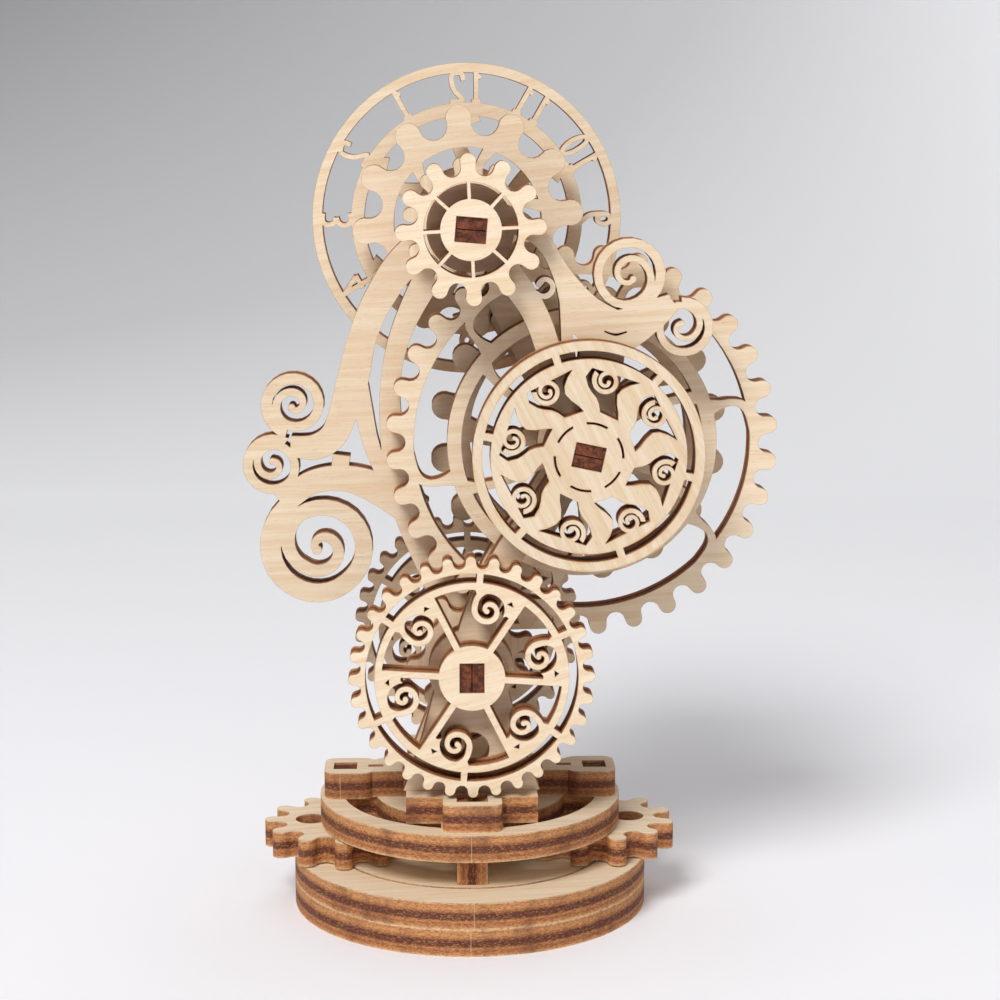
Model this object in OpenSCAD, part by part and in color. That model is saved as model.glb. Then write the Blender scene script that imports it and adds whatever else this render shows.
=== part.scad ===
// Plywood gear clock model on a turning base. Millimetres, Z up.
// The dial faces +Y; the open gear side that is seen first faces -Y.
// The origin is the middle of the underside of the base.

/* [Sheet] */
// Thickness of the plywood sheet
ply = 4; // [3.6:0.1:4.4]
// Gap on each side between a frame plate and the parts that turn beside it
run_gap = 0.6; // [0.4:0.1:0.9]
// Radial clearance of a round bush or pin in its bore
bore_fit = 0.05; // [0.03:0.01:0.08]
// Clearance on each side of a glued slot, tab or square axle
glue_fit = 0.03; // [0.02:0.01:0.06]

/* [Base] */
// Radius of the base
base_r = 26.7; // [25.5:0.1:30]
// Width of the fixed ring on top of the base
rim_w = 6.1; // [5:0.1:6.4]
// Radial gap round the disc that turns inside that ring
turn_gap = 0.3; // [0.2:0.05:0.6]
// Radius of the fixed pin in the middle of the base
pin_r = 3; // [2.5:0.1:3.6]
// Gap under the turning disc
slide_gap = 0.1; // [0.05:0.05:0.2]
// Gap above and below the planet gears
planet_gap = 0.3; // [0.2:0.05:0.5]

/* [Platform] */
// Outer radius of the platform ring
ring_r = 22.7; // [22:0.1:24]
// Inner radius of the platform ring
ring_in_r = 19.2; // [18:0.1:19.8]
// Radius of the round web in the middle of the platform ring
web_r = 14.4; // [12:0.1:15.5]
// Width of the bridges that join the web to the ring
bridge_w = 9; // [8.6:0.1:11]
// Width of the square posts between the turning disc and the feet
post_w = 4.4; // [4:0.1:5]
// Distance from each post's middle to the edge of the turning disc
post_in = 3.2; // [2.9:0.1:3.4]
// Distance from the ends of the crossbar to the edge of the platform ring
bar_in = 0.7; // [0:0.1:1]
// Half width of the crossbar at its ends
bar_end_w = 4.2; // [3.4:0.1:5]
// Half width of the crossbar in the middle
bar_mid_w = 6.4; // [6:0.1:7]
// Half width of the front and rear feet
foot_x = 9.6; // [9:0.1:11]
// Half width of the tongue on each foot
tongue_x = 4.3; // [3.6:0.1:5]

/* [Planet gears] */
// Teeth of each planet gear
planet_teeth = 12; // [12]
// Teeth of the fixed sun gear
sun_teeth = 9; // [9]
// Distance from the sun gear to each planet gear
planet_x = 18.9; // [18.7:0.1:19.2]
// Radius of the round part of a planet pin
planet_pin_r = 1.9; // [1.6:0.1:2.2]
// Side of the square head of a planet pin
planet_head = 3.4; // [3:0.1:3.8]
// Diameter of the four holes in each planet gear
planet_hole_d = 4.7; // [3.8:0.1:5]
// Distance of those holes from the gear's centre
planet_hole_at = 5.3; // [5.1:0.05:5.6]

/* [Axles] */
// Height of the low axle
low_z = 38.6; // [38:0.1:40]
// Height of the middle axle
mid_z = 70.55; // [70:0.05:71]
// Height of the top axle
top_z = 102.5; // [102:0.1:103]
// Sideways offset of the middle axle
mid_x = 16.6; // [16:0.1:17]
// Width of an axle across its two strips
axle_w = 3.5; // [3.2:0.1:3.8]
// Height of an axle
axle_h = 4.3; // [4:0.1:4.5]
// Outside radius of a bush
bush_r = 3.7; // [3.6:0.1:4.2]
// Outside radius of a spacer
spacer_r = 5; // [4.6:0.1:5.6]
// Depth of an axle end behind the face of its wheel
axle_inset = 0.3; // [0.1:0.1:0.8]

/* [Train] */
// Teeth of the big gear
big_teeth = 32; // [30:2:34]
// Teeth of the pinions on the top and low axles
pinion_teeth = 10; // [10:1:11]
// Teeth of the large-toothed drive gear on the middle axle
drive_teeth = 16; // [15:1:17]
// Teeth of the large-toothed dial gear on the top axle
dial_teeth = 12; // [12:1:13]
// Play taken off each tooth, measured along the pitch circle
backlash = 0.3; // [0.25:0.05:0.5]
// The same for the pinions and the sun gear, which have thinner teeth
pinion_play = 1.1; // [0.9:0.05:1.3]

/* [Big gear] */
// Inside radius of the toothed rim
big_rim_in = 24.8; // [23.6:0.1:25]
// Outer radius of the inner ring
big_ring_out = 19.9; // [19.6:0.1:20.8]
// Inner radius of the inner ring
big_ring_in = 17.8; // [16.8:0.1:18]
// Half width of the spokes between the inner ring and the hub
big_spoke = 0.65; // [0.5:0.05:1]
// Angle of one tooth at rest
big_turn = 5.3; // [0:0.1:11]

/* [Toothed wheels] */
// Tip radius of the front and rear wheels
wheel_r = 17.75; // [17.2:0.05:18]
// Teeth of the front and rear wheels
wheel_teeth = 32; // [30:1:36]
// Depth of their teeth
wheel_tooth = 1.75; // [1.4:0.05:2]
// Outer radius of the slot ring in a wheel
wheel_slot_out = 15.3; // [15:0.05:15.4]
// Inner radius of the slot ring in a wheel
wheel_slot_in = 14; // [13.8:0.05:14.3]
// Radius inside the thin inner ring of a wheel
wheel_open_r = 12.95; // [12.6:0.05:13.2]
// Hub radius of a wheel
wheel_hub_r = 4.8; // [4.4:0.1:5.4]
// Width of the straight spokes and of the bridges over the slot ring
wheel_spoke = 0.95; // [0.8:0.05:1.3]

/* [Ray disc] */
// Radius of the ray disc
disc_r = 16.5; // [16:0.05:17]
// Outer radius of its slot ring
disc_slot_out = 15.1; // [14.8:0.05:15.3]
// Inner radius of its slot ring
disc_slot_in = 13.95; // [13.7:0.05:14.2]
// Outer end of the pockets between the rays
disc_pocket_out = 12.7; // [12.3:0.05:13]
// Inner end of the pockets between the rays
disc_pocket_in = 6.6; // [6.2:0.05:7]
// Radius of the fine slots round the hub
disc_hub_slot = 4.85; // [4.6:0.05:5.2]

/* [Top gear] */
// Tip radius of the top gear
top_gear_r = 10.6; // [10.2:0.1:11]
// Teeth of the top gear
top_gear_teeth = 12; // [10:1:14]
// Depth of its teeth
top_gear_tooth = 3; // [2.4:0.1:3.1]
// Outer radius of its slot ring
top_slot_out = 6.6; // [6.2:0.1:6.8]
// Inner radius of its slot ring
top_slot_in = 4.3; // [4.1:0.1:4.6]

/* [Dial] */
// Outside radius of the dial
dial_r = 23.5; // [23:0.1:24.5]
// Inside radius of the dial's rim
dial_rim_in = 22; // [21.6:0.1:22.3]
// Outer radius of the ring inside the numbers
dial_ring_out = 17.6; // [17.2:0.1:18]
// Inner radius of that ring
dial_ring_in = 15.6; // [15:0.1:16]
// Hub radius of the dial
dial_hub_r = 8; // [7.6:0.1:9]
// Line width of the numbers
dial_line = 0.75; // [0.6:0.05:1]
// Radius of the two pegs that hold the dial
peg_r = 1; // [0.8:0.05:1.2]

/* [Frame plates] */
// Radius of the round eyes round the bushes
eye_r = 6.2; // [5.8:0.1:7]
// Half width of the tab under each frame plate
tab_x = 4; // [3:0.1:5]
// Outer radius of the large left scroll
left_scroll_r = 8.6; // [8.2:0.1:9.4]
// Outer radius of the two small left scrolls
left_curl_r = 4.8; // [4.4:0.1:5.2]
// Outer radius of the large right scroll
right_scroll_r = 5.2; // [4.8:0.1:5.6]
// Outer radius of the small right scroll
right_curl_r = 4.1; // [3.8:0.1:4.6]

/* [Hidden] */
$fn = 96;

pale = "#e6cfa4";
light = "#dcc092";
edge = "#9c6434";
burnt = "#6b3d20";

// Sizes that follow from the base and the ring
turn_r = base_r - rim_w - turn_gap;
post_y = turn_r - post_in;
bar_x = ring_r - bar_in;

// Layers along Y, each value is the front face of its layer
face_y = -18;
bush_len = ply + 2 * run_gap;
front_frame_y = face_y + ply + run_gap;
spacer_y = face_y + ply + bush_len;
train_y = spacer_y + bush_len;
middle_frame_y = train_y + ply + run_gap;
drive_y = train_y + ply + bush_len;
rear_frame_y = drive_y + ply + run_gap;
back_y = drive_y + ply + bush_len;
dial_y = rear_frame_y + ply;

// Levels along Z, each value is the underside of its layer
base_top = 2 * ply;
planet_z = base_top + planet_gap;
ring_z = planet_z + ply + planet_gap;
foot_z = ring_z + ply;
frame_z = foot_z + ply;

// Axle positions in the X-Z plane
low_at = [0, low_z];
mid_at = [mid_x, mid_z];
top_at = [0, top_z];
up_len = norm(top_at - mid_at);
down_len = norm(mid_at - low_at);
up_dir = atan2(top_at[1] - mid_at[1], top_at[0] - mid_at[0]);
down_dir = atan2(low_at[1] - mid_at[1], low_at[0] - mid_at[0]);

// Turn of each axle at rest
low_axle_turn = 0;
mid_axle_turn = 78;
top_axle_turn = 85.3;

// Modules of the gear pairs, which follow from the distances between their axles
up_mod = 2 * up_len / (big_teeth + pinion_teeth);
down_mod = 2 * down_len / (big_teeth + pinion_teeth);
drive_mod = 2 * up_len / (drive_teeth + dial_teeth);
planet_mod = 2 * planet_x / (planet_teeth + sun_teeth);
big_mod = min(up_mod, down_mod);

// The drive gear's tooth angle at rest, and the turn of each gear that meshes with another
drive_turn = 10.5;
top_pinion_turn = mesh_turn(up_dir, big_teeth, big_turn, pinion_teeth);
low_pinion_turn = mesh_turn(down_dir, big_teeth, big_turn, pinion_teeth);
dial_gear_turn = mesh_turn(up_dir, drive_teeth, drive_turn, dial_teeth);
sun_turn = 0;
right_planet_turn = mesh_turn(0, sun_teeth, sun_turn, planet_teeth);
left_planet_turn = mesh_turn(180, sun_teeth, sun_turn, planet_teeth);

// Turn of a gear of n2 teeth that meshes, in direction dir, with one of n1 teeth turned by t1
function mesh_turn(dir, n1, t1, n2) = dir + 180 + ((dir - t1) * n1 - 180) / n2;

// Outline of a gear whose teeth and gaps both end in half circles, with straight flanks between them
function gear_pts(n, m, add, ded, play, turn) =
    let (quarter = PI * m / 4, ra = n * m / 2 + add, rf = n * m / 2 - ded, deep = add + ded,
        tip = min(quarter - play / 4, deep / 2), gap = min(quarter + play / 4, deep - tip),
        arc = [-90 : 22.5 : 90])
    [for (i = [0 : n - 1]) let (c = turn + i * 360 / n, g = c + 180 / n)
        each concat(
            [for (u = arc) polar(ra - tip, c) + tip * polar(1, c + u)],
            [for (u = arc) polar(rf + gap, g) + gap * polar(1, g + 180 - u)])];

function polar(r, a) = [r * cos(a), r * sin(a)];

// Point on a smooth curve through p1 and p2
function smooth(p0, p1, p2, p3, t) =
    0.5 * (2 * p1 + (p2 - p0) * t + (2 * p0 - 5 * p1 + 4 * p2 - p3) * t * t
    + (3 * p1 - p0 - 3 * p2 + p3) * t * t * t);

// Smooth run through a list of points [x, y, half width]
function run(p, steps) =
    let (n = len(p) - 1)
    [for (i = [0 : n - 1], s = [0 : steps - 1])
        smooth(p[max(0, i - 1)], p[i], p[i + 1], p[min(n, i + 2)], s / steps), p[n]];

function side(q, i, sign) =
    let (n = len(q) - 1, a = q[max(0, i - 1)], b = q[min(n, i + 1)],
        d = [b[0] - a[0], b[1] - a[1]], l = norm(d))
    [q[i][0] - sign * q[i][2] * d[1] / l, q[i][1] + sign * q[i][2] * d[0] / l];

// Sheet-thick plate of a drawing, a cut that passes right through one, and what such a cut leaves standing
module plate() {
    linear_extrude(ply) children();
}

module cut() {
    translate([0, 0, -1]) linear_extrude(ply + 2) children();
}

module spared() {
    translate([0, 0, -2]) linear_extrude(ply + 4) children();
}

function band_pts(p, steps) =
    let (q = run(p, steps), n = len(q) - 1)
    concat([for (i = [0 : n]) side(q, i, 1)], [for (i = [n : -1 : 0]) side(q, i, -1)]);

// A flat band that follows points [x, y, half width]
module band(p, steps = 6) {
    plate() polygon(band_pts(p, steps));
}

// A coil. The outer edge follows shape, pairs of [share of the way, share of r]; width goes from w0 to w1.
// It is as thick as the sheet, or thicker by over on both sides.
module coil(at, r, start, sweep, shape, w0, w1, steps = 30, over = 0) {
    first = floor(steps / 3);
    translate([0, 0, -over]) {
        for (part = [[0, first], [first, steps]])
            linear_extrude(ply + 2 * over) polygon(concat(
                [for (i = [part[0] : part[1]]) at + polar(r * lookup(i / steps, shape), start + sweep * i / steps)],
                [for (i = [part[1] : -1 : part[0]]) let (s = i / steps)
                    at + polar(max(0.05, r * lookup(s, shape) - (w0 + (w1 - w0) * s)), start + sweep * s)]));
        translate(at + polar(r * lookup(1, shape) - w1 * 0.55, start + sweep))
            linear_extrude(ply + 2 * over) circle(w1 * 0.62, $fn = 24);
    }
}

module annulus(r_out, r_in) {
    difference() {
        circle(r_out);
        circle(r_in);
    }
}

// A ring of slots with straight bridges of width w between them
module slot_ring(r_out, r_in, count, turn, w) {
    difference() {
        annulus(r_out, r_in);
        for (i = [0 : count - 1]) rotate(turn + i * 360 / count) translate([r_in - 1, -w / 2]) square([r_out - r_in + 2, w]);
    }
}

module axle_hole() {
    square([axle_w + 2 * glue_fit, axle_h + 2 * glue_fit], center = true);
}

// Stands a sheet part up in the X-Z plane with its front face at y
module stand(y, t = ply) {
    translate([0, y + t, 0]) rotate([90, 0, 0]) children();
}

module upright(y, t = ply) {
    stand(y, t) linear_extrude(t) children();
}

module flat(z, t = ply) {
    translate([0, 0, z]) linear_extrude(t) children();
}

// An axle of two strips, with the line between them cut into both ends
module axle(at, y0, y1, turn) {
    groove = 0.16;
    depth = 0.5;
    difference() {
        upright(y0, y1 - y0) translate(at) rotate(turn) square([axle_w, axle_h], center = true);
        for (y = [y0 - 1, y1 - depth])
            upright(y, depth + 1) translate(at) rotate(turn) square([groove, axle_h + 2], center = true);
    }
}

module bushes(at, turn, ys) {
    for (y = ys)
        upright(y, bush_len) translate(at) difference() {
            circle(bush_r);
            rotate(turn) axle_hole();
        }
}

module collar(at, turn, y, t, r) {
    upright(y, t) translate(at) difference() {
        circle(r);
        rotate(turn) axle_hole();
    }
}

// Base

module base_disc() {
    color(edge) flat(0) difference() {
        circle(base_r);
        circle(pin_r + glue_fit);
    }
}

module base_ring() {
    color(edge) flat(ply) annulus(base_r, turn_r + turn_gap);
}

module centre_pin() {
    color(burnt) cylinder(r = pin_r, h = planet_z + ply);
}

module sun_gear() {
    color(light) flat(planet_z) difference() {
        sun_outline(sun_turn);
        circle(pin_r + glue_fit);
    }
}

module sun_outline(turn) {
    polygon(gear_pts(sun_teeth, planet_mod, planet_mod * 0.7, planet_mod * 1.05, pinion_play, turn));
}

module planet_outline(turn) {
    polygon(gear_pts(planet_teeth, planet_mod, planet_mod * 0.85, planet_mod * 0.9, backlash, turn));
}

module planet_gear(x, turn) {
    flat(planet_z) translate([x, 0]) difference() {
        planet_outline(turn);
        circle(planet_pin_r + bore_fit);
        for (a = [0 : 90 : 270]) rotate(a) translate([planet_hole_at, 0]) circle(d = planet_hole_d);
    }
}

module left_planet_gear() {
    color(light) planet_gear(-planet_x, left_planet_turn);
}

module right_planet_gear() {
    color(light) planet_gear(planet_x, right_planet_turn);
}

module planet_pin(x) {
    sink = 0.4;
    translate([x, 0, base_top + planet_gap / 2]) cylinder(r = planet_pin_r, h = ring_z - base_top - planet_gap / 2);
    flat(ring_z, 2 * ply - sink) translate([x, 0]) square(planet_head, center = true);
}

module left_planet_pin() {
    color(burnt) planet_pin(-planet_x);
}

module right_planet_pin() {
    color(burnt) planet_pin(planet_x);
}

// Turning platform

module turning_disc() {
    color(light) flat(ply + slide_gap) difference() {
        circle(turn_r);
        circle(pin_r + bore_fit);
        post_holes();
    }
}

module post_holes() {
    for (y = [-post_y, post_y]) translate([0, y]) square([post_w, ply] + 2 * glue_fit * [1, 1], center = true);
}

module pin_heads() {
    for (x = [-planet_x, planet_x]) translate([x, 0]) square(planet_head + 2 * glue_fit, center = true);
}

module post(y) {
    sink = 0.6;
    flat(ply + slide_gap, frame_z - ply - slide_gap - sink) translate([0, y]) square([post_w, ply], center = true);
}

module front_post() {
    color(burnt) post(-post_y);
}

module rear_post() {
    color(burnt) post(post_y);
}

module platform_ring() {
    lug_r = 3.2;
    color(edge) flat(ring_z) difference() {
        union() {
            annulus(ring_r, ring_in_r);
            circle(web_r);
            square([bridge_w, 2 * ring_in_r + 1], center = true);
            intersection() {
                circle(ring_r);
                for (x = [-planet_x, planet_x]) translate([x, 0]) circle(lug_r);
            }
            square([2 * ring_in_r, 5], center = true);
        }
        post_holes();
        pin_heads();
    }
}

module crossbar() {
    waist = 3.2;
    slot_x = 14.3;
    color(edge) flat(foot_z) difference() {
        union() {
            square([2 * (planet_x - 1), 2 * waist], center = true);
            square([2 * foot_x, 2 * bar_mid_w], center = true);
            for (s = [-1, 1]) translate([s * (planet_x - 0.6), 0])
                rounded_box(bar_x - planet_x + 0.6, bar_end_w, 1.8);
        }
        pin_heads();
        for (s = [-1, 1]) translate([s * slot_x, 0]) square([2.2, 1.2], center = true);
        translate([0, middle_frame_y + ply / 2]) square([2 * tab_x, ply] + 2 * glue_fit * [1, 1], center = true);
    }
}

// A rectangle of half sizes hx and hy with round corners
module rounded_box(hx, hy, r) {
    square([2 * hx, 2 * (hy - r)], center = true);
    square([2 * (hx - r), 2 * hy], center = true);
    for (x = [-1, 1], y = [-1, 1]) translate([x * (hx - r), y * (hy - r)]) circle(r, $fn = 32);
}

// A foot: the bar under a frame plate, with the tongue that takes the post
module foot(plate_y, out) {
    reach = post_y + 4.1;
    inner = 8.2;
    y_bar = abs(plate_y + ply / 2);
    rotate(out < 0 ? 180 : 0) flat(foot_z) difference() {
        union() {
            translate([-foot_x, inner]) square([2 * foot_x, y_bar + 5.2 - inner]);
            translate([0, (inner + reach) / 2]) rounded_box(tongue_x, (reach - inner) / 2, 1.6);
        }
        translate([0, post_y]) square([post_w, ply] + 2 * glue_fit * [1, 1], center = true);
        translate([0, y_bar]) square([2 * tab_x, ply] + 2 * glue_fit * [1, 1], center = true);
    }
}

module front_foot() {
    color(edge) foot(front_frame_y, -1);
}

module rear_foot() {
    color(edge) foot(rear_frame_y, 1);
}

// Frame plates

module eyes(points) {
    for (p = points) translate(p) plate() circle(eye_r);
}

module bores(points) {
    for (p = points) translate(p) cut() circle(bush_r + bore_fit);
}

module tab() {
    translate([-tab_x, foot_z]) plate() square([2 * tab_x, ply + 1]);
}

// The standing leg under the low axle
module leg(half) {
    difference() {
        plate() polygon([[-half, frame_z], [half, frame_z], [half - 2.3, frame_z + 6],
            [4.6, low_z], [-4.6, low_z], [2.3 - half, frame_z + 6]]);
        translate([0, frame_z + 6.2]) cut() circle(2.6);
    }
}

module front_frame() {
    color(pale) stand(front_frame_y) difference() {
        union() {
            eyes([low_at, mid_at, top_at]);
            leg(10);
            tab();
            band([[mid_at[0], mid_at[1], 3], [mid_at[0] - 5.6, mid_at[1] - 7.6, 2.3], [mid_at[0] - 10.8, mid_at[1] - 14.2, 2.1],
                [1.6, low_z + 9, 2.3], [low_at[0], low_at[1], 3.4]]);
            band([[top_at[0], top_at[1], 3], [top_at[0] + 5, top_at[1] - 6, 2.1], [top_at[0] + 9.6, top_at[1] - 13, 1.8],
                [mid_at[0] - 3.6, mid_at[1] + 8, 1.9], [mid_at[0], mid_at[1], 3]]);
            hook();
            right_arm();
        }
        bores([low_at, mid_at, top_at]);
        leaf_line();
    }
}

module hook() {
    coil([top_at[0] + 10.4, top_at[1] - 8.2], 1.9, 215, 300, [[0, 1], [0.5, 0.86], [1, 0.62]], 0.85, 0.7);
}

module right_arm() {
    big = [mid_at[0] + 5.9, mid_at[1] + 25.4];
    small = [mid_at[0] + 13.7, mid_at[1] + 17.9];
    band([[top_at[0] + 2, top_at[1] + 1.5, 2.6], [top_at[0] + 7, top_at[1] + 0.6, 1.7], [top_at[0] + 10.6, top_at[1] - 2.4, 1.15],
        [top_at[0] + 13, top_at[1] - 6.6, 1.35], [mid_at[0] - 0.2, mid_at[1] + 19.6, 3], [mid_at[0] + 4.2, mid_at[1] + 17.4, 3.1],
        [mid_at[0] + 9, mid_at[1] + 19.6, 2.3], [mid_at[0] + 12.2, mid_at[1] + 21.5, 1.3]]);
    band([[mid_at[0] + 2.5, mid_at[1] + 18, 3.2], [mid_at[0] + 1.8, mid_at[1] + 12, 3.2], [mid_at[0] + 0.4, mid_at[1] + 5, 3]]);
    band([[top_at[0] + 13.3, top_at[1] - 8.6, 0.8], [mid_at[0] - 2.9, mid_at[1] + 16.4, 0.85], [mid_at[0] - 2.2, mid_at[1] + 8, 1.6]]);
    coil(big, right_scroll_r, -90, 760, [[0, 0.98], [0.2, 1], [0.45, 0.96], [0.62, 0.62], [1, 0.24]], 1.5, 0.75, 48);
    coil(small, right_curl_r, 95, -700, [[0, 1.05], [0.3, 1], [0.5, 0.92], [0.68, 0.6], [1, 0.25]], 1.3, 0.7, 44);
}

// The fine curved line cut through the leaf
module leaf_line() {
    cut() polygon(band_pts([[mid_at[0] + 2.4, mid_at[1] + 17.4, 0.1], [mid_at[0] + 4, mid_at[1] + 16.9, 0.16],
        [mid_at[0] + 5.6, mid_at[1] + 17.3, 0.1]], 6));
}

module middle_frame() {
    color(pale) stand(middle_frame_y) difference() {
        union() {
            eyes([low_at, mid_at, top_at]);
            leg(8.6);
            tab();
            left_arm();
            band([[top_at[0], top_at[1], 3], [top_at[0] - 6.6, top_at[1] - 9, 2], [top_at[0] - 10.9, top_at[1] - 19, 1.5],
                [low_at[0] - 11.6, low_at[1] + 34, 1.7], [low_at[0] - 9, low_at[1] + 22, 2.6],
                [low_at[0] - 4, low_at[1] + 10, 2.7], [low_at[0], low_at[1], 3.2]]);
            band([[mid_at[0], mid_at[1], 2.6], [mid_at[0] - 7, mid_at[1] - 9.4, 1.5],
                [low_at[0] + 3.6, low_at[1] + 13, 1.6], [low_at[0], low_at[1], 2.6]]);
            band([[top_at[0], top_at[1], 2.6], [top_at[0] + 6.4, top_at[1] - 15, 1.8], [mid_at[0], mid_at[1], 2.6]]);
        }
        bores([low_at, mid_at, top_at]);
    }
}

module left_arm() {
    scroll = [low_at[0] - 22.2, low_at[1] + 15.4];
    upper = [low_at[0] - 26, low_at[1] + 37.2];
    lower = [low_at[0] - 29.4, low_at[1] + 28.1];
    band([[top_at[0] - 2, top_at[1], 2.9], [top_at[0] - 9.2, top_at[1] - 5.4, 2.5], [top_at[0] - 13.3, top_at[1] - 11.1, 2.2],
        [top_at[0] - 15.7, top_at[1] - 16.7, 2.1], [top_at[0] - 17.3, top_at[1] - 23.3, 2.35],
        [low_at[0] - 18.8, low_at[1] + 35.6, 2.1], [low_at[0] - 20.3, low_at[1] + 32.4, 2], [low_at[0] - 23, low_at[1] + 30.8, 1.9],
        [low_at[0] - 26.6, low_at[1] + 31, 1.5]], 8);
    band([[low_at[0] - 16.2, low_at[1] + 40, 1.3], [low_at[0] - 15.6, low_at[1] + 36, 1.35], [low_at[0] - 14.6, low_at[1] + 31.4, 1.2],
        [low_at[0] - 13, low_at[1] + 27.4, 1.2], [low_at[0] - 8, low_at[1] + 19.5, 2.2]]);
    band([[low_at[0] - 7.5, low_at[1] + 20.5, 2.6], [low_at[0] - 12.4, low_at[1] + 23.9, 2.5], [low_at[0] - 18, low_at[1] + 26, 2],
        [low_at[0] - 23.4, low_at[1] + 25.5, 1.8], [low_at[0] - 28, low_at[1] + 22.3, 1.8]], 8);
    band([[low_at[0] - 19, low_at[1] + 29.6, 1.3], [low_at[0] - 19.4, low_at[1] + 26.6, 1.3]]);
    coil(scroll, left_scroll_r, 118, 800,
        [[0, 1.12], [0.1, 1.05], [0.24, 0.9], [0.36, 0.9], [0.46, 0.85], [0.58, 0.56], [1, 0.15]], 3.3, 1.15, 64);
    coil(upper, left_curl_r, 255, -740, [[0, 1.08], [0.15, 1], [0.35, 0.93], [0.5, 0.8], [0.66, 0.56], [1, 0.22]], 1.8, 0.9, 48);
    coil(lower, left_curl_r, 58, 740, [[0, 1], [0.15, 0.9], [0.35, 0.9], [0.5, 0.78], [0.66, 0.54], [1, 0.22]], 1.6, 0.85, 48);
}

module rear_frame() {
    color(light) stand(rear_frame_y) difference() {
        union() {
            eyes([low_at, mid_at]);
            translate(top_at) plate() circle(dial_hub_r);
            leg(8.6);
            tab();
            band([[top_at[0], top_at[1], 3.2], [top_at[0] + 5.4, top_at[1] - 15, 1.9], [mid_at[0], mid_at[1], 2.6]]);
            band([[mid_at[0], mid_at[1], 2.6], [mid_at[0] - 5, mid_at[1] - 15, 1.9], [low_at[0], low_at[1], 3.2]]);
        }
        bores([low_at, mid_at, top_at]);
        cut() dial_peg_holes();
    }
}

// Dial

module dial_peg_holes() {
    for (s = [-1, 1]) translate(top_at) translate([s * (bush_r + dial_hub_r) / 2, 0]) circle(peg_r + glue_fit);
}

module dial_pegs() {
    color(burnt) for (s = [-1, 1])
        upright(rear_frame_y, 2 * ply) translate(top_at) translate([s * (bush_r + dial_hub_r) / 2, 0]) circle(peg_r);
}

module stroke(p, w) {
    band([for (q = p) [q[0], q[1], w / 2]], len(p) > 2 ? 5 : 1);
}

module loop(y, rx, ry, w) {
    plate() difference() {
        polygon([for (a = [0 : 15 : 345]) [rx * cos(a), y + ry * sin(a)]]);
        polygon([for (a = [0 : 15 : 345]) [(rx - w) * cos(a), y + (ry - w) * sin(a)]]);
    }
}

// One figure of half height h, upright and centred on the origin
module figure(d, h, w) {
    top = h - w / 2;
    if (d == 0) loop(0, 1.15, h, w);
    if (d == 1) {
        stroke([[0, -h], [0, h]], w);
        stroke([[0, h * 0.8], [-0.75, h * 0.55]], w * 0.8);
        stroke([[-0.7, -top], [0.7, -top]], w);
    }
    if (d == 2) {
        stroke([[-0.95, h * 0.4], [-0.7, h * 0.8], [0.1, top], [0.85, h * 0.62], [0.5, -h * 0.1], [-0.6, -h * 0.6], [-0.95, -top]], w);
        stroke([[-1.05, -top], [1.05, -top]], w);
    }
    if (d == 3) {
        stroke([[-0.9, top], [0.3, top], [0.85, h * 0.55], [0.45, h * 0.14], [-0.25, 0.05]], w);
        stroke([[-0.25, 0.05], [0.65, -h * 0.15], [0.95, -h * 0.55], [0.3, -top], [-0.95, -top + 0.1]], w);
    }
    if (d == 4) {
        stroke([[0.45, -h], [0.45, h]], w);
        stroke([[0.45, top], [-1, -h * 0.3]], w * 0.9);
        stroke([[-1.1, -h * 0.32], [1.1, -h * 0.32]], w * 0.9);
    }
    if (d == 5) {
        stroke([[0.9, top], [-0.75, top]], w);
        stroke([[-0.65, h], [-0.7, h * 0.1]], w * 0.9);
        stroke([[-0.8, h * 0.2], [0.2, h * 0.26], [0.9, -h * 0.3], [0.4, -top], [-0.9, -top + 0.1]], w);
    }
    if (d == 6) {
        loop(-h * 0.45, 1.15, h * 0.55, w);
        stroke([[-0.8, -h * 0.4], [-0.6, h * 0.4], [0.5, h]], w);
    }
    if (d == 7) {
        stroke([[-1, top], [1, top]], w);
        stroke([[0.8, top], [0.1, 0], [-0.3, -h]], w);
    }
    if (d == 8) {
        loop(h * 0.48, 1, h * 0.52, w);
        loop(-h * 0.46, 1.15, h * 0.54, w);
    }
    if (d == 9) {
        loop(h * 0.45, 1.15, h * 0.55, w);
        stroke([[0.8, h * 0.4], [0.6, -h * 0.4], [-0.5, -h]], w);
    }
}

module number(n, h, w) {
    spread = 1.45;
    if (n < 10) figure(n, h, w);
    else {
        translate([-spread, 0]) figure(floor(n / 10), h, w);
        translate([spread, 0]) figure(n % 10, h, w);
    }
}

// The numbers are read from the +Y side, so they stand mirrored here
module dial() {
    mid_r = (dial_rim_in + dial_ring_out) / 2;
    half = (dial_rim_in - dial_ring_out) / 2 + 0.3;
    color(pale) stand(dial_y) translate(top_at) {
        plate() annulus(dial_r, dial_rim_in);
        plate() annulus(dial_ring_out, dial_ring_in);
        for (n = [1 : 12]) rotate(30 * n) translate([0, mid_r]) mirror([1, 0]) number(n, half, dial_line);
        for (i = [0 : 5]) rotate(60 * i + 23)
            band([[dial_hub_r - 1, 0, 1.3], [dial_hub_r + 3, 2.6, 1], [dial_ring_in - 1.6, 3, 0.9],
                [dial_ring_in + 0.6, 0.6, 1.6]]);
        plate() difference() {
            circle(dial_hub_r);
            circle(bush_r + run_gap);
            translate(-top_at) dial_peg_holes();
        }
    }
}

// Low axle

module low_axle() {
    color(burnt) axle(low_at, face_y + axle_inset, back_y + ply - axle_inset, low_axle_turn);
}

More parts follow.
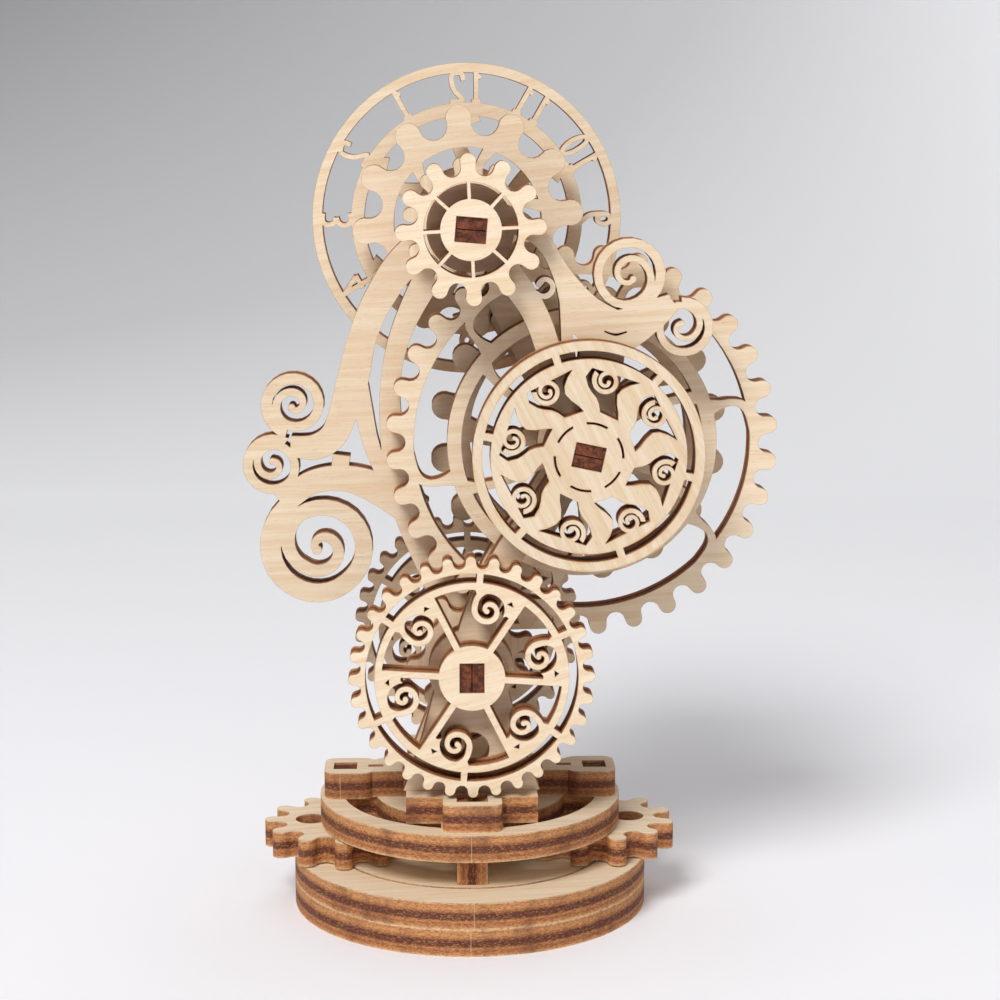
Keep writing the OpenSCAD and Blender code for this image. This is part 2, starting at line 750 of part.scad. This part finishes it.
// The opening between two straight spokes of a wheel, with a round socket for its coil
module wheel_pocket(coil_at, socket_r) {
    half = wheel_spoke / 2;
    hub = asin(half / wheel_hub_r);
    rim = 60 - asin(half / wheel_open_r);
    polygon(concat(
        [for (i = [0 : 8]) polar(wheel_hub_r, 60 - hub - (60 - 2 * hub) * i / 8)],
        [[coil_at[0] + 0.6, half], polar(coil_at[0] + 0.65, 5)],
        [for (i = [0 : 12]) coil_at + polar(socket_r, -84 + 13 * i)],
        [for (i = [0 : 6]) polar(wheel_open_r, 31.5 + (rim - 31.5) * i / 6)]));
}

// A wheel with fine teeth, a slotted rim and six straight spokes with a coil beside each.
// It is drawn from an angle between two coils, so that nothing crosses the start of a circle.
module wheel(turn) {
    pitch = wheel_r - 0.45 * wheel_tooth;
    coil_at = polar(10.25, 20.5);
    socket_r = 2.35;
    between = 45;
    rotate(turn + between) difference() {
        plate() polygon(gear_pts(wheel_teeth, 2 * pitch / wheel_teeth, 0.45 * wheel_tooth, 0.55 * wheel_tooth,
            backlash, -between));
        cut() slot_ring(wheel_slot_out, wheel_slot_in, 6, 25 - between, wheel_spoke);
        for (i = [0 : 5]) rotate(60 * i - 4 - between) {
            difference() {
                cut() wheel_pocket(coil_at, socket_r);
                coil(coil_at, socket_r, 30, 498,
                    [[0, 1.43], [0.06, 1.27], [0.13, 1.05], [0.25, 0.98], [0.43, 0.85], [0.61, 0.6], [0.8, 0.42], [1, 0.27]],
                    0.92, 0.65, 36, 2);
            }
            cut() polygon([polar(wheel_open_r - 1.05, 3.8), polar(wheel_open_r - 0.45, 6.4), polar(wheel_open_r - 1.05, 8.6)]);
        }
        rotate(low_axle_turn - turn - between) cut() axle_hole();
    }
}

module front_wheel() {
    color(pale) stand(face_y) translate(low_at) wheel(0.4);
}

module rear_wheel() {
    color(light) stand(back_y) translate(low_at) wheel(5);
}

module pinion(m, turn) {
    polygon(gear_pts(pinion_teeth, m, m * 0.66, m * 1.1, pinion_play, turn));
}

module low_pinion() {
    color(light) upright(train_y) translate(low_at) difference() {
        pinion(down_mod, low_pinion_turn);
        rotate(low_axle_turn) axle_hole();
    }
}

module low_bushes() {
    color(burnt) bushes(low_at, low_axle_turn, [face_y + ply, train_y + ply, drive_y + ply]);
}

module low_spacers() {
    color(light) {
        collar(low_at, low_axle_turn, spacer_y, bush_len, spacer_r);
        collar(low_at, low_axle_turn, drive_y, ply, spacer_r);
    }
}

// Middle axle

module middle_axle() {
    color(burnt) axle(mid_at, face_y + axle_inset, back_y + ply / 2 - axle_inset, mid_axle_turn);
}

// The pocket between two rays, as [share of the way in, angle] down one side and up the other
module ray_pocket() {
    down = [[0, 10.8], [0.16, 15.3], [0.34, 19.4], [0.5, 20.9], [0.7, 17.5], [0.86, 11.7], [1, 6.8]];
    up = [[1, 31.5], [0.82, 34.8], [0.68, 38.4], [0.55, 43.2], [0.42, 46], [0.2, 47.6], [0, 43.4]];
    polygon([for (p = concat(down, up)) polar(disc_pocket_out + (disc_pocket_in - disc_pocket_out) * p[0], p[1])]);
}

module ray_disc() {
    rays = 8;
    slots = 6;
    hub_line = 0.32;
    coil_at = 11;
    color(pale) stand(face_y) translate(mid_at) {
        plate() difference() {
            circle(disc_r);
            slot_ring(disc_slot_out, disc_slot_in, slots, 48.5, 1.1);
            slot_ring(disc_hub_slot + hub_line / 2, disc_hub_slot - hub_line / 2, slots, 46, 2);
            for (i = [0 : rays - 1]) rotate(i * 360 / rays) ray_pocket();
            rotate(mid_axle_turn) axle_hole();
        }
        for (i = [0 : rays - 1]) rotate(32.4 + i * 360 / rays)
            coil([coil_at, 0], 1.95, 58, 560, [[0, 1.15], [0.1, 1.04], [0.25, 0.9], [0.5, 0.84], [0.7, 0.62], [1, 0.33]],
                0.72, 0.5, 32);
    }
}

// A curved spoke of the big gear between its ring and its rim, with a wide round corner at the rim.
// Each pair is a share of the way out and an angle.
module rim_spoke() {
    low = [[-0.1, -3.6], [0.15, -1.9], [0.41, -1.2], [0.65, -1.5], [0.83, -3.2], [0.93, -6.2], [1, -11.5]];
    high = [[1.08, -11.5], [1.08, -6], [1.08, -1.6]];
    back = [[1.02, -1.2], [0.87, 0.2], [0.55, 1.5], [0.3, 2], [0.12, 2.8], [-0.1, 4.2]];
    polygon([for (part = [smooth_side(low), [for (p = high) share_at(p)], smooth_side(back)]) each part]);
}

function share_at(p) = polar(big_ring_out + (big_rim_in - big_ring_out) * p[0], p[1]);

function smooth_side(p) = [for (q = run([for (v = p) concat(share_at(v), 0)], 4)) [q[0], q[1]]];

// A thin curved spoke between its hub and its ring
module hub_spoke(hub_r) {
    polygon(band_pts([concat(polar(big_ring_in + 0.5, 6.5), 1.1), concat(polar(big_ring_in - 2, 9), big_spoke),
        concat(polar(hub_r + 5, 12), big_spoke), concat(polar(hub_r - 1, 10), 1)], 6));
}

// The big gear: toothed rim, curved spokes, inner ring and hub
module big_gear() {
    hub_r = 6.6;
    spokes = [15, 75, 135, 195, 260, 325];
    color(pale) stand(train_y) translate(mid_at) difference() {
        plate() polygon(gear_pts(big_teeth, big_mod, big_mod * 0.9, big_mod * 0.82, backlash, big_turn));
        difference() {
            cut() annulus(big_rim_in, big_ring_out);
            for (a = spokes) rotate(a) spared() rim_spoke();
        }
        difference() {
            cut() annulus(big_ring_in, hub_r);
            for (a = spokes) rotate(a) spared() hub_spoke(hub_r);
        }
        rotate(mid_axle_turn) cut() axle_hole();
    }
}

// The drive gear: sixteen large round teeth behind the big gear
module drive_gear() {
    rim_in = 16.4;
    hub_r = 6.6;
    color(light) stand(drive_y) translate(mid_at) difference() {
        union() {
            plate() difference() {
                polygon(gear_pts(drive_teeth, drive_mod, drive_mod * 0.78, drive_mod * 0.95, backlash, drive_turn));
                circle(rim_in);
            }
            plate() circle(hub_r);
            for (i = [0 : 4]) rotate(72 * i + 33)
                band([[hub_r - 1, 0, 1.6], [hub_r + 4, 1.6, 1.1], [rim_in + 0.8, 0, 1.8]]);
        }
        rotate(mid_axle_turn) cut() axle_hole();
    }
}

module middle_bushes() {
    color(burnt) bushes(mid_at, mid_axle_turn, [face_y + ply, train_y + ply, drive_y + ply]);
}

module middle_spacer() {
    color(light) collar(mid_at, mid_axle_turn, spacer_y, bush_len, spacer_r);
}

module middle_collar() {
    color(light) collar(mid_at, mid_axle_turn, back_y, ply / 2, spacer_r);
}

// Top axle

module top_axle() {
    color(burnt) axle(top_at, face_y + axle_inset, dial_y + ply - axle_inset, top_axle_turn);
}

module top_gear() {
    pitch = top_gear_r - 0.45 * top_gear_tooth;
    color(pale) upright(face_y) translate(top_at) difference() {
        polygon(gear_pts(top_gear_teeth, 2 * pitch / top_gear_teeth, 0.45 * top_gear_tooth, 0.55 * top_gear_tooth,
            backlash, 2.5));
        slot_ring(top_slot_out, top_slot_in, 8, 3, 0.5);
        rotate(top_axle_turn) axle_hole();
    }
}

module top_pinion() {
    color(light) upright(train_y) translate(top_at) difference() {
        pinion(up_mod, top_pinion_turn);
        rotate(top_axle_turn) axle_hole();
    }
}

module top_bushes() {
    color(burnt) {
        bushes(top_at, top_axle_turn, [face_y + ply, train_y + ply, drive_y + ply]);
        collar(top_at, top_axle_turn, drive_y, ply, bush_r);
    }
}

module top_spacer() {
    color(light) collar(top_at, top_axle_turn, spacer_y, bush_len, spacer_r);
}

module top_collar() {
    color(light) collar(top_at, top_axle_turn, back_y, dial_y + ply - back_y, bush_r);
}

// The dial gear: twelve large teeth, free to turn on the top axle's round sleeve
module dial_gear() {
    rim_in = 11;
    hub_r = 5.8;
    color(pale) stand(drive_y) translate(top_at) difference() {
        union() {
            plate() difference() {
                polygon(gear_pts(dial_teeth, drive_mod, drive_mod * 0.72, drive_mod, backlash, dial_gear_turn));
                circle(rim_in);
            }
            plate() circle(hub_r);
            for (i = [0 : 5]) rotate(60 * i + 12)
                band([[hub_r - 1, 0, 1], [hub_r + 2.6, 0.9, 0.6], [rim_in + 0.5, 0, 1]]);
        }
        cut() circle(bush_r + bore_fit);
    }
}

base_disc();
base_ring();
centre_pin();
sun_gear();
turning_disc();
front_post();
rear_post();
platform_ring();
crossbar();
front_foot();
rear_foot();
front_frame();
middle_frame();
rear_frame();
dial();
dial_pegs();
left_planet_gear();
right_planet_gear();
left_planet_pin();
right_planet_pin();
low_axle();
front_wheel();
low_pinion();
low_bushes();
low_spacers();
rear_wheel();
middle_axle();
ray_disc();
big_gear();
drive_gear();
middle_bushes();
middle_spacer();
middle_collar();
top_axle();
top_gear();
top_pinion();
top_bushes();
top_spacer();
top_collar();
dial_gear();
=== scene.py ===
import math

import bpy
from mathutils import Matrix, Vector

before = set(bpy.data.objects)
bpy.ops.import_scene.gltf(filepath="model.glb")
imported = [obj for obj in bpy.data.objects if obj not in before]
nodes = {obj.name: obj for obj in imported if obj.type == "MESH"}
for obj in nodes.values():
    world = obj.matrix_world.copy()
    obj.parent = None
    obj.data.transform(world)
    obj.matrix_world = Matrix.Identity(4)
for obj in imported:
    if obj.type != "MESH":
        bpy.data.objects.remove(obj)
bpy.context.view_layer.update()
print("frame loaded:", len(nodes), "nodes")


def linear(rgb):
    # a screen colour of 0 to 255 as the linear values that the shader takes
    return tuple((c / 255 / 12.92) if c <= 10 else ((c / 255 + 0.055) / 1.055) ** 2.4 for c in rgb)


class Wire:
    # a socket that takes part in sums
    def __init__(self, shader, socket):
        self.shader = shader
        self.socket = socket

    def sum(self, operation, first, second=None):
        values = {0: first} if second is None else {0: first, 1: second}
        return self.shader.node("Math", {"operation": operation}, values).out()

    def __add__(self, other):
        return self.sum("ADD", self, other)

    def __sub__(self, other):
        return self.sum("SUBTRACT", self, other)

    def __rsub__(self, other):
        return self.sum("SUBTRACT", other, self)

    def __mul__(self, other):
        return self.sum("MULTIPLY", self, other)

    def __truediv__(self, other):
        return self.sum("DIVIDE", self, other)

    def __pow__(self, other):
        return self.sum("POWER", self, other)

    __radd__ = __add__
    __rmul__ = __mul__

    def size(self):
        return self.sum("ABSOLUTE", self)

    def above(self, level, soft):
        # 0 under level, 1 over level + soft
        return self.shader.node("MapRange", {"interpolation_type": "SMOOTHSTEP"},
                                {0: self, 1: level, 2: level + soft, 3: 0, 4: 1}).out()

    def below(self, level, soft):
        return 1 - self.above(level, soft)

    def atMost(self, other):
        return self.sum("MINIMUM", self, other)

    def atLeast(self, other):
        return self.sum("MAXIMUM", self, other)

    def wrapped(self, period):
        return self.sum("MODULO", self, period)


class NodeWires:
    def __init__(self, shader, made):
        self.shader = shader
        self.made = made

    def out(self, name=0):
        return Wire(self.shader, self.made.outputs[name])


class Shader:
    def __init__(self, name):
        self.material = bpy.data.materials.new(name)
        self.material.use_nodes = True
        self.tree = self.material.node_tree
        self.tree.nodes.clear()

    def node(self, kind, settings=None, values=None):
        made = self.tree.nodes.new("ShaderNode" + kind)
        for key, value in (settings or {}).items():
            if key == "stops":
                ramp = made.color_ramp
                while len(ramp.elements) < len(value):
                    ramp.elements.new(0.5)
                for element, (place, colour) in zip(ramp.elements, value):
                    element.position = place
                    element.color = (*colour, 1)
            else:
                setattr(made, key, value)
        for key, value in (values or {}).items():
            if isinstance(value, Wire):
                self.tree.links.new(value.socket, made.inputs[key])
            elif isinstance(value, tuple) and made.inputs[key].type == "RGBA":
                made.inputs[key].default_value = (*value, 1)[:4]
            else:
                made.inputs[key].default_value = value
        return NodeWires(self, made)

    def blend(self, share, first, second):
        # colours: first where share is 0, second where it is 1
        mix = self.node("Mix", {"data_type": "RGBA"}, {"Factor": share, 6: first, 7: second})
        return Wire(self, mix.made.outputs[2])

    def noise(self, place, scale, detail=2.0, rough=0.5, twist=0.0):
        return self.node("TexNoise", {}, {"Vector": place, "Scale": scale, "Detail": detail, "Roughness": rough,
                                          "Distortion": twist}).out("Fac")

    def vector(self, x, y, z):
        return self.node("CombineXYZ", {}, {0: x, 1: y, 2: z}).out()

    def finish(self, surface):
        self.node("OutputMaterial", {}, {"Surface": surface})
        return self.material


# Birch plywood: pale veneer on both faces, three scorched plies on every cut edge
wood = {
    "cream": (245, 226, 199), "straw": (234, 208, 173), "vein": (213, 175, 134), "pore": (176, 134, 94),
    "outline": (122, 78, 44), "halo": (226, 170, 104), "tabMark": (236, 208, 160),
    "glow": (222, 166, 102), "char": (84, 44, 32), "smoke": (88, 46, 36), "gloss": 0.3,
    "outlineWidth": 0.00017, "stainWidth": 0.0009, "relief": 0.00006,
    "plies": [(0.0, (236, 198, 148)), (0.08, (204, 142, 92)), (0.2, (170, 106, 68)), (0.3, (196, 132, 84)),
              (0.38, (108, 60, 46)), (0.58, (102, 56, 45)), (0.66, (176, 112, 70)), (0.78, (210, 150, 98)),
              (0.92, (200, 138, 90)), (1.0, (238, 202, 156))],
}


# axis and low: see sheets. grain: its angle. toneAndShade: brightness of the sheet, lowered as painted shade for
# the frames, the rear wheel and the drive gear. thick: of the sheet. scorch: stains beside the cuts.
# marks: places of cut tabs. paintedEdgeShade: extra dark smoke colour on the edges, painted shade for the bushes,
# crossbar and rear foot that sit in shade. pitch: from one ring to the next in a stack of them.
def plywood(name, axis, low, grain=90.0, seed=0.0, toneAndShade=1.0, thick=4.0, scorch=0.0, marks=(), paintedEdgeShade=0.0,
            pitch=100.0):
    s = Shader(name)
    coord = s.node("TexCoord")
    spot = s.node("VectorMath", {"operation": "SCALE"}, {0: coord.out("Object"), "Scale": 1000.0}).out()
    parts = s.node("SeparateXYZ", {}, {0: spot})
    x, y, z = parts.out(0), parts.out(1), parts.out(2)
    facing = s.node("SeparateXYZ", {}, {0: coord.out("Normal")})
    u, v, depth, toFace = {"Y": (x, z, y, facing.out(1)), "Z": (x, y, z, facing.out(2)),
                           "X": (y, z, x, facing.out(0))}[axis]
    cos, sin = math.cos(math.radians(grain)), math.sin(math.radians(grain))
    along = u * cos + v * sin
    across = v * cos - u * sin

    # veneer
    streak = s.noise(s.vector(along * 0.03, across * 0.9, seed), 1.0, 5, 0.6, 0.3)
    fine = s.noise(s.vector(along * 0.16, across * 7.0, seed + 3), 1.0, 3, 0.6)
    pore = s.noise(s.vector(along * 0.8, across * 9.0, seed + 7), 1.0, 1, 0.5).above(0.66, 0.07)
    cloud = s.noise(s.vector(along * 0.06, across * 0.11, seed + 11), 1.0, 3, 0.5)
    face = s.blend(streak.above(0.34, 0.34), linear(wood["cream"]), linear(wood["straw"]))
    face = s.blend(fine.above(0.45, 0.3) * 0.34 + cloud.above(0.5, 0.3) * 0.18, face, linear(wood["vein"]))
    face = s.blend(pore * 0.4, face, linear(wood["pore"]))

    # the cut runs brown along each edge, and in places the smoke stains the veneer beside it
    straight = s.node("NewGeometry").out("Normal")
    rounded = s.node("Bevel", {"samples": 6}, {"Radius": wood["outlineWidth"]}).out()
    near = 1 - s.node("VectorMath", {"operation": "DOT_PRODUCT"}, {0: straight, 1: rounded}).out("Value")
    line = near.above(0.02, 0.2)
    face = s.blend(line * 0.78, face, linear(wood["outline"]))
    if scorch:
        wide = s.node("Bevel", {"samples": 6}, {"Radius": wood["stainWidth"]}).out()
        nearWide = 1 - s.node("VectorMath", {"operation": "DOT_PRODUCT"}, {0: straight, 1: wide}).out("Value")
        stain = s.noise(s.vector(u, v, seed + 5), 0.34, 3, 0.6).above(0.5, 0.16)
        face = s.blend(nearWide.above(0.0, 0.25) * stain * scorch, face, linear(wood["halo"]))

    # plies
    wave = s.noise(s.vector(u * 0.5, v * 0.5, seed + 2), 1.0, 3) - 0.5
    share = (depth - low).wrapped(pitch) / thick + wave * 0.07
    layers = s.node("ValToRGB", {"stops": [(p, linear(c)) for p, c in wood["plies"]]}, {0: share})
    edge = Wire(s, layers.made.outputs[0])
    grit = s.noise(s.vector(u * 1.9, v * 1.9, depth * 5.0), 1.0, 4, 0.8)
    edge = s.blend(grit.above(0.5, 0.16) * 0.55, edge, linear(wood["glow"]))
    edge = s.blend(grit.below(0.4, 0.14) * 0.5, edge, linear(wood["char"]))
    smoke = s.noise(s.vector(u * 0.22, v * 0.22, depth * 0.1 + seed), 1.0, 3)
    # the added amount darkens the edges of parts that sit in shade inside or under the frame: painted shade on top
    # of the laser smoke
    edge = s.blend((smoke.above(0.5, 0.25) * 0.5 + paintedEdgeShade).atMost(0.9), edge, linear(wood["smoke"]))
    kerf = s.noise(s.vector(u * 6.0, v * 6.0, depth * 0.35 + seed), 1.0, 2)
    for at in marks:
        hit = (u - at).size().below(0.03, 0.05) * v.below(-2, 1)
        edge = s.blend(hit * 0.4, edge, linear(wood["tabMark"]))

    onFace = toFace.size().above(0.6, 0.1)
    colour = s.blend(onFace, edge, face)
    # a Value under 1 darkens the whole part: for the frames, the rear wheel and the drive gear this is painted
    # shade for parts set back in the clock or away from the light
    colour = s.node("HueSaturation", {}, {"Value": toneAndShade, "Color": colour}).out()
    height = onFace * (fine * 0.5 - pore * 0.6 - line * 0.5) + (1 - onFace) * (kerf + grit * 0.6)
    bump = s.node("Bump", {}, {"Strength": 0.25, "Distance": wood["relief"], "Height": height}).out()
    rough = onFace * (0.56 + fine * 0.12) + (1 - onFace) * (0.62 + grit * 0.2)
    body = s.node("BsdfPrincipled", {}, {"Base Color": colour, "Roughness": rough, "Normal": bump,
                                         "Specular IOR Level": wood["gloss"]})
    return s.finish(body.out())


# Scorched strips: the square axles and pins show little but burnt wood
burntWood = {"dark": (78, 40, 28), "warm": (128, 70, 44), "gold": (176, 116, 66), "char": (52, 26, 20),
             "grain": 2.2, "relief": 0.00006, "gloss": 0.3}


def scorched(name, axis, seed=0.0):
    s = Shader(name)
    coord = s.node("TexCoord")
    spot = s.node("VectorMath", {"operation": "SCALE"}, {0: coord.out("Object"), "Scale": 1000.0}).out()
    parts = s.node("SeparateXYZ", {}, {0: spot})
    x, y, z = parts.out(0), parts.out(1), parts.out(2)
    u, v, along = {"Y": (x, z, y), "Z": (x, y, z)}[axis]
    grit = s.noise(s.vector(u * burntWood["grain"], v * burntWood["grain"], along * 0.8 + seed), 1.0, 4, 0.7)
    streak = s.noise(s.vector(u * 1.2, v * 1.2, along * 0.08 + seed), 1.0, 3)
    colour = s.blend(streak.above(0.35, 0.35), linear(burntWood["dark"]), linear(burntWood["warm"]))
    colour = s.blend(grit.above(0.55, 0.2) * 0.45, colour, linear(burntWood["gold"]))
    colour = s.blend(grit.below(0.35, 0.15) * 0.5, colour, linear(burntWood["char"]))
    bump = s.node("Bump", {}, {"Strength": 0.3, "Distance": burntWood["relief"], "Height": grit}).out()
    body = s.node("BsdfPrincipled", {}, {"Base Color": colour, "Roughness": 0.66 + grit * 0.16, "Normal": bump,
                                         "Specular IOR Level": burntWood["gloss"]})
    return s.finish(body.out())


# Each sheet part: the axis its thickness runs along, its lower or front face in mm, and how it looks
sheets = {
    "base_disc": dict(axis="Z", low=0, grain=4, seed=1, marks=(-0.4,)),
    "base_ring": dict(axis="Z", low=4, grain=8, seed=2, marks=(0.1,)),
    "turning_disc": dict(axis="Z", low=4.1, grain=3, seed=3),
    "sun_gear": dict(axis="Z", low=8.3, grain=20, seed=4),
    "left_planet_gear": dict(axis="Z", low=8.3, grain=15, seed=5),
    "right_planet_gear": dict(axis="Z", low=8.3, grain=-10, seed=6),
    "platform_ring": dict(axis="Z", low=12.6, grain=2, seed=7, marks=(-0.2,)),
    "crossbar": dict(axis="Z", low=16.6, grain=0, seed=8, marks=(-19.6,), paintedEdgeShade=0.25),
    "front_foot": dict(axis="Z", low=16.6, grain=0, seed=9),
    "rear_foot": dict(axis="Z", low=16.6, grain=0, seed=10, paintedEdgeShade=0.2),
    "front_post": dict(axis="X", low=-2.2, grain=90, seed=11, thick=4.4),
    "rear_post": dict(axis="X", low=-2.2, grain=90, seed=12, thick=4.4),
    "front_frame": dict(axis="Y", low=-13.4, grain=4, seed=13, toneAndShade=0.94),
    "middle_frame": dict(axis="Y", low=1.0, grain=2, seed=14, toneAndShade=0.93),
    "rear_frame": dict(axis="Y", low=10.2, grain=0, seed=15, toneAndShade=0.97),
    "dial": dict(axis="Y", low=14.2, grain=12, seed=16),
    "front_wheel": dict(axis="Y", low=-18, grain=15, seed=17),
    "rear_wheel": dict(axis="Y", low=14.8, grain=0, seed=18, toneAndShade=0.93),
    "low_pinion": dict(axis="Y", low=-3.6, grain=90, seed=19),
    "ray_disc": dict(axis="Y", low=-18, grain=-62, seed=20, scorch=0.9, toneAndShade=0.9),
    "big_gear": dict(axis="Y", low=-3.6, grain=3, seed=21),
    "drive_gear": dict(axis="Y", low=5.6, grain=10, seed=22, toneAndShade=0.86, scorch=0.5),
    "top_gear": dict(axis="Y", low=-18, grain=8, seed=23),
    "top_pinion": dict(axis="Y", low=-3.6, grain=90, seed=24),
    "dial_gear": dict(axis="Y", low=5.6, grain=6, seed=25),
    "low_spacers": dict(axis="Y", low=-8.8, grain=90, seed=26, thick=5.2, pitch=14.4),
    "middle_spacer": dict(axis="Y", low=-8.8, grain=90, seed=27, thick=5.2),
    "top_spacer": dict(axis="Y", low=-8.8, grain=90, seed=28, thick=5.2),
    "middle_collar": dict(axis="Y", low=14.8, grain=90, seed=29, thick=2),
    "top_collar": dict(axis="Y", low=14.8, grain=90, seed=30, thick=2),
    "low_bushes": dict(axis="Y", low=-14, grain=90, seed=31, thick=5.2, paintedEdgeShade=0.3),
    "middle_bushes": dict(axis="Y", low=-14, grain=90, seed=32, thick=5.2, paintedEdgeShade=0.3),
    "top_bushes": dict(axis="Y", low=-14, grain=90, seed=33, thick=5.2, paintedEdgeShade=0.3),
}
strips = {"low_axle": "Y", "middle_axle": "Y", "top_axle": "Y", "dial_pegs": "Y",
          "centre_pin": "Z", "left_planet_pin": "Z", "right_planet_pin": "Z"}


def dress(name, material):
    mesh = nodes[name].data
    mesh.materials.clear()
    mesh.materials.append(material)


for name, look in sheets.items():
    dress(name, plywood("ply_" + name, **look))
for count, (name, axis) in enumerate(strips.items()):
    dress(name, scorched("burnt_" + name, axis, seed=count * 3.0))
print("woods made:", len(sheets) + len(strips), "of", len(nodes))


# Floor that sweeps up into a backdrop
sweepShape = {"front": -3.0, "bend": 0.34, "bendRadius": 0.3, "top": 1.1, "half": 3.0, "steps": 24}


def makeSweep(look):
    profile = [(look["front"], 0.0)]
    for i in range(look["steps"] + 1):
        a = math.pi / 2 * i / look["steps"]
        profile.append((look["bend"] + look["bendRadius"] * math.sin(a), look["bendRadius"] * (1 - math.cos(a))))
    profile.append((look["bend"] + look["bendRadius"], look["top"]))
    verts = [(side * look["half"], y, z) for y, z in profile for side in (-1, 1)]
    faces = [(2 * i, 2 * i + 1, 2 * i + 3, 2 * i + 2) for i in range(len(profile) - 1)]
    mesh = bpy.data.meshes.new("paper_sweep")
    mesh.from_pydata(verts, [], faces)
    for face in mesh.polygons:
        face.use_smooth = True
    sweep = bpy.data.objects.new("paper_sweep", mesh)
    bpy.context.scene.collection.objects.link(sweep)
    return sweep


# Paper: almost white on the floor; painted shade makes it a little darker further back and greyer up the wall, and
# more so to the left
paper = {
    "floor": (250, 249, 252), "paintedFarShade": (248, 248, 250),
    "paintedWallShade": [(0.0, (248, 248, 250)), (0.3, (208, 208, 210)), (1.0, (157, 157, 159))],
    "level": 0.52, "side": 2.2, "height": 0.15, "curve": 0.75,
}


def paperMaterial():
    s = Shader("paper")
    spot = s.node("SeparateXYZ", {}, {0: s.node("TexCoord").out("Object")})
    x, y, z = spot.out(0), spot.out(1), spot.out(2)
    # painted shade: the floor a little darker further back
    floor = s.blend(y.above(0.08, 0.24), linear(paper["floor"]), linear(paper["paintedFarShade"]))
    rise = (z / paper["height"]).atLeast(0) ** paper["curve"]
    # painted shade: greyer with height up the wall and towards the left
    shade = rise * (paper["level"] - x * paper["side"])
    paintedWallShade = s.node("ValToRGB", {"stops": [(p, linear(c)) for p, c in paper["paintedWallShade"]]}, {0: shade})
    colour = s.blend(z.above(0.0005, 0.003), floor, Wire(s, paintedWallShade.made.outputs[0]))
    body = s.node("BsdfPrincipled", {}, {"Base Color": colour, "Roughness": 0.9, "Specular IOR Level": 0.1})
    return s.finish(body.out())


sweep = makeSweep(sweepShape)
sweep.data.materials.append(paperMaterial())

# Studio light: a soft lamp from the upper left, a wide one overhead, a weak one in front, and an even sky
lamps = {
    "key": dict(at=(-0.42, -0.86, 1.02), toward=(0, 0, 0.05), size=0.55, power=13.8),
    "roof": dict(at=(0.15, 0.3, 1.4), toward=(0.05, 0.15, 0), size=1.2, power=4.2),
    "fill": dict(at=(0.3, -1.1, 0.4), toward=(0, 0, 0.07), size=0.9, power=1.3),
}
for name, lamp in lamps.items():
    data = bpy.data.lights.new(name, "AREA")
    data.shape = "DISK"
    data.size = lamp["size"]
    data.energy = lamp["power"]
    light = bpy.data.objects.new(name, data)
    light.location = lamp["at"]
    light.rotation_euler = (Vector(lamp["toward"]) - Vector(lamp["at"])).to_track_quat("-Z", "Y").to_euler()
    bpy.context.scene.collection.objects.link(light)

sky = {"colour": (0.97, 0.98, 1.0, 1), "strength": 0.2}
world = bpy.data.worlds.new("studio")
world.use_nodes = True
background = world.node_tree.nodes["Background"]
background.inputs["Color"].default_value = sky["colour"]
background.inputs["Strength"].default_value = sky["strength"]
bpy.context.scene.world = world
bpy.context.scene.view_settings.view_transform = "Standard"

# Camera at the photograph's angle
shot = {"at": (-0.0064, -0.3387, 0.1189), "down": 9.62, "turn": 1.86, "lens": 82.8}
down, turn = math.radians(shot["down"]), math.radians(shot["turn"])
gaze = Vector((math.cos(down) * math.sin(turn), math.cos(down) * math.cos(turn), -math.sin(down)))
cameraData = bpy.data.cameras.new("camera")
cameraData.lens = shot["lens"]
cameraData.sensor_width = 36
cameraData.clip_start = 0.01
camera = bpy.data.objects.new("camera", cameraData)
camera.location = shot["at"]
camera.rotation_euler = gaze.to_track_quat("-Z", "Y").to_euler()
bpy.context.scene.collection.objects.link(camera)
bpy.context.scene.camera = camera
print("stage, lamps and camera set")
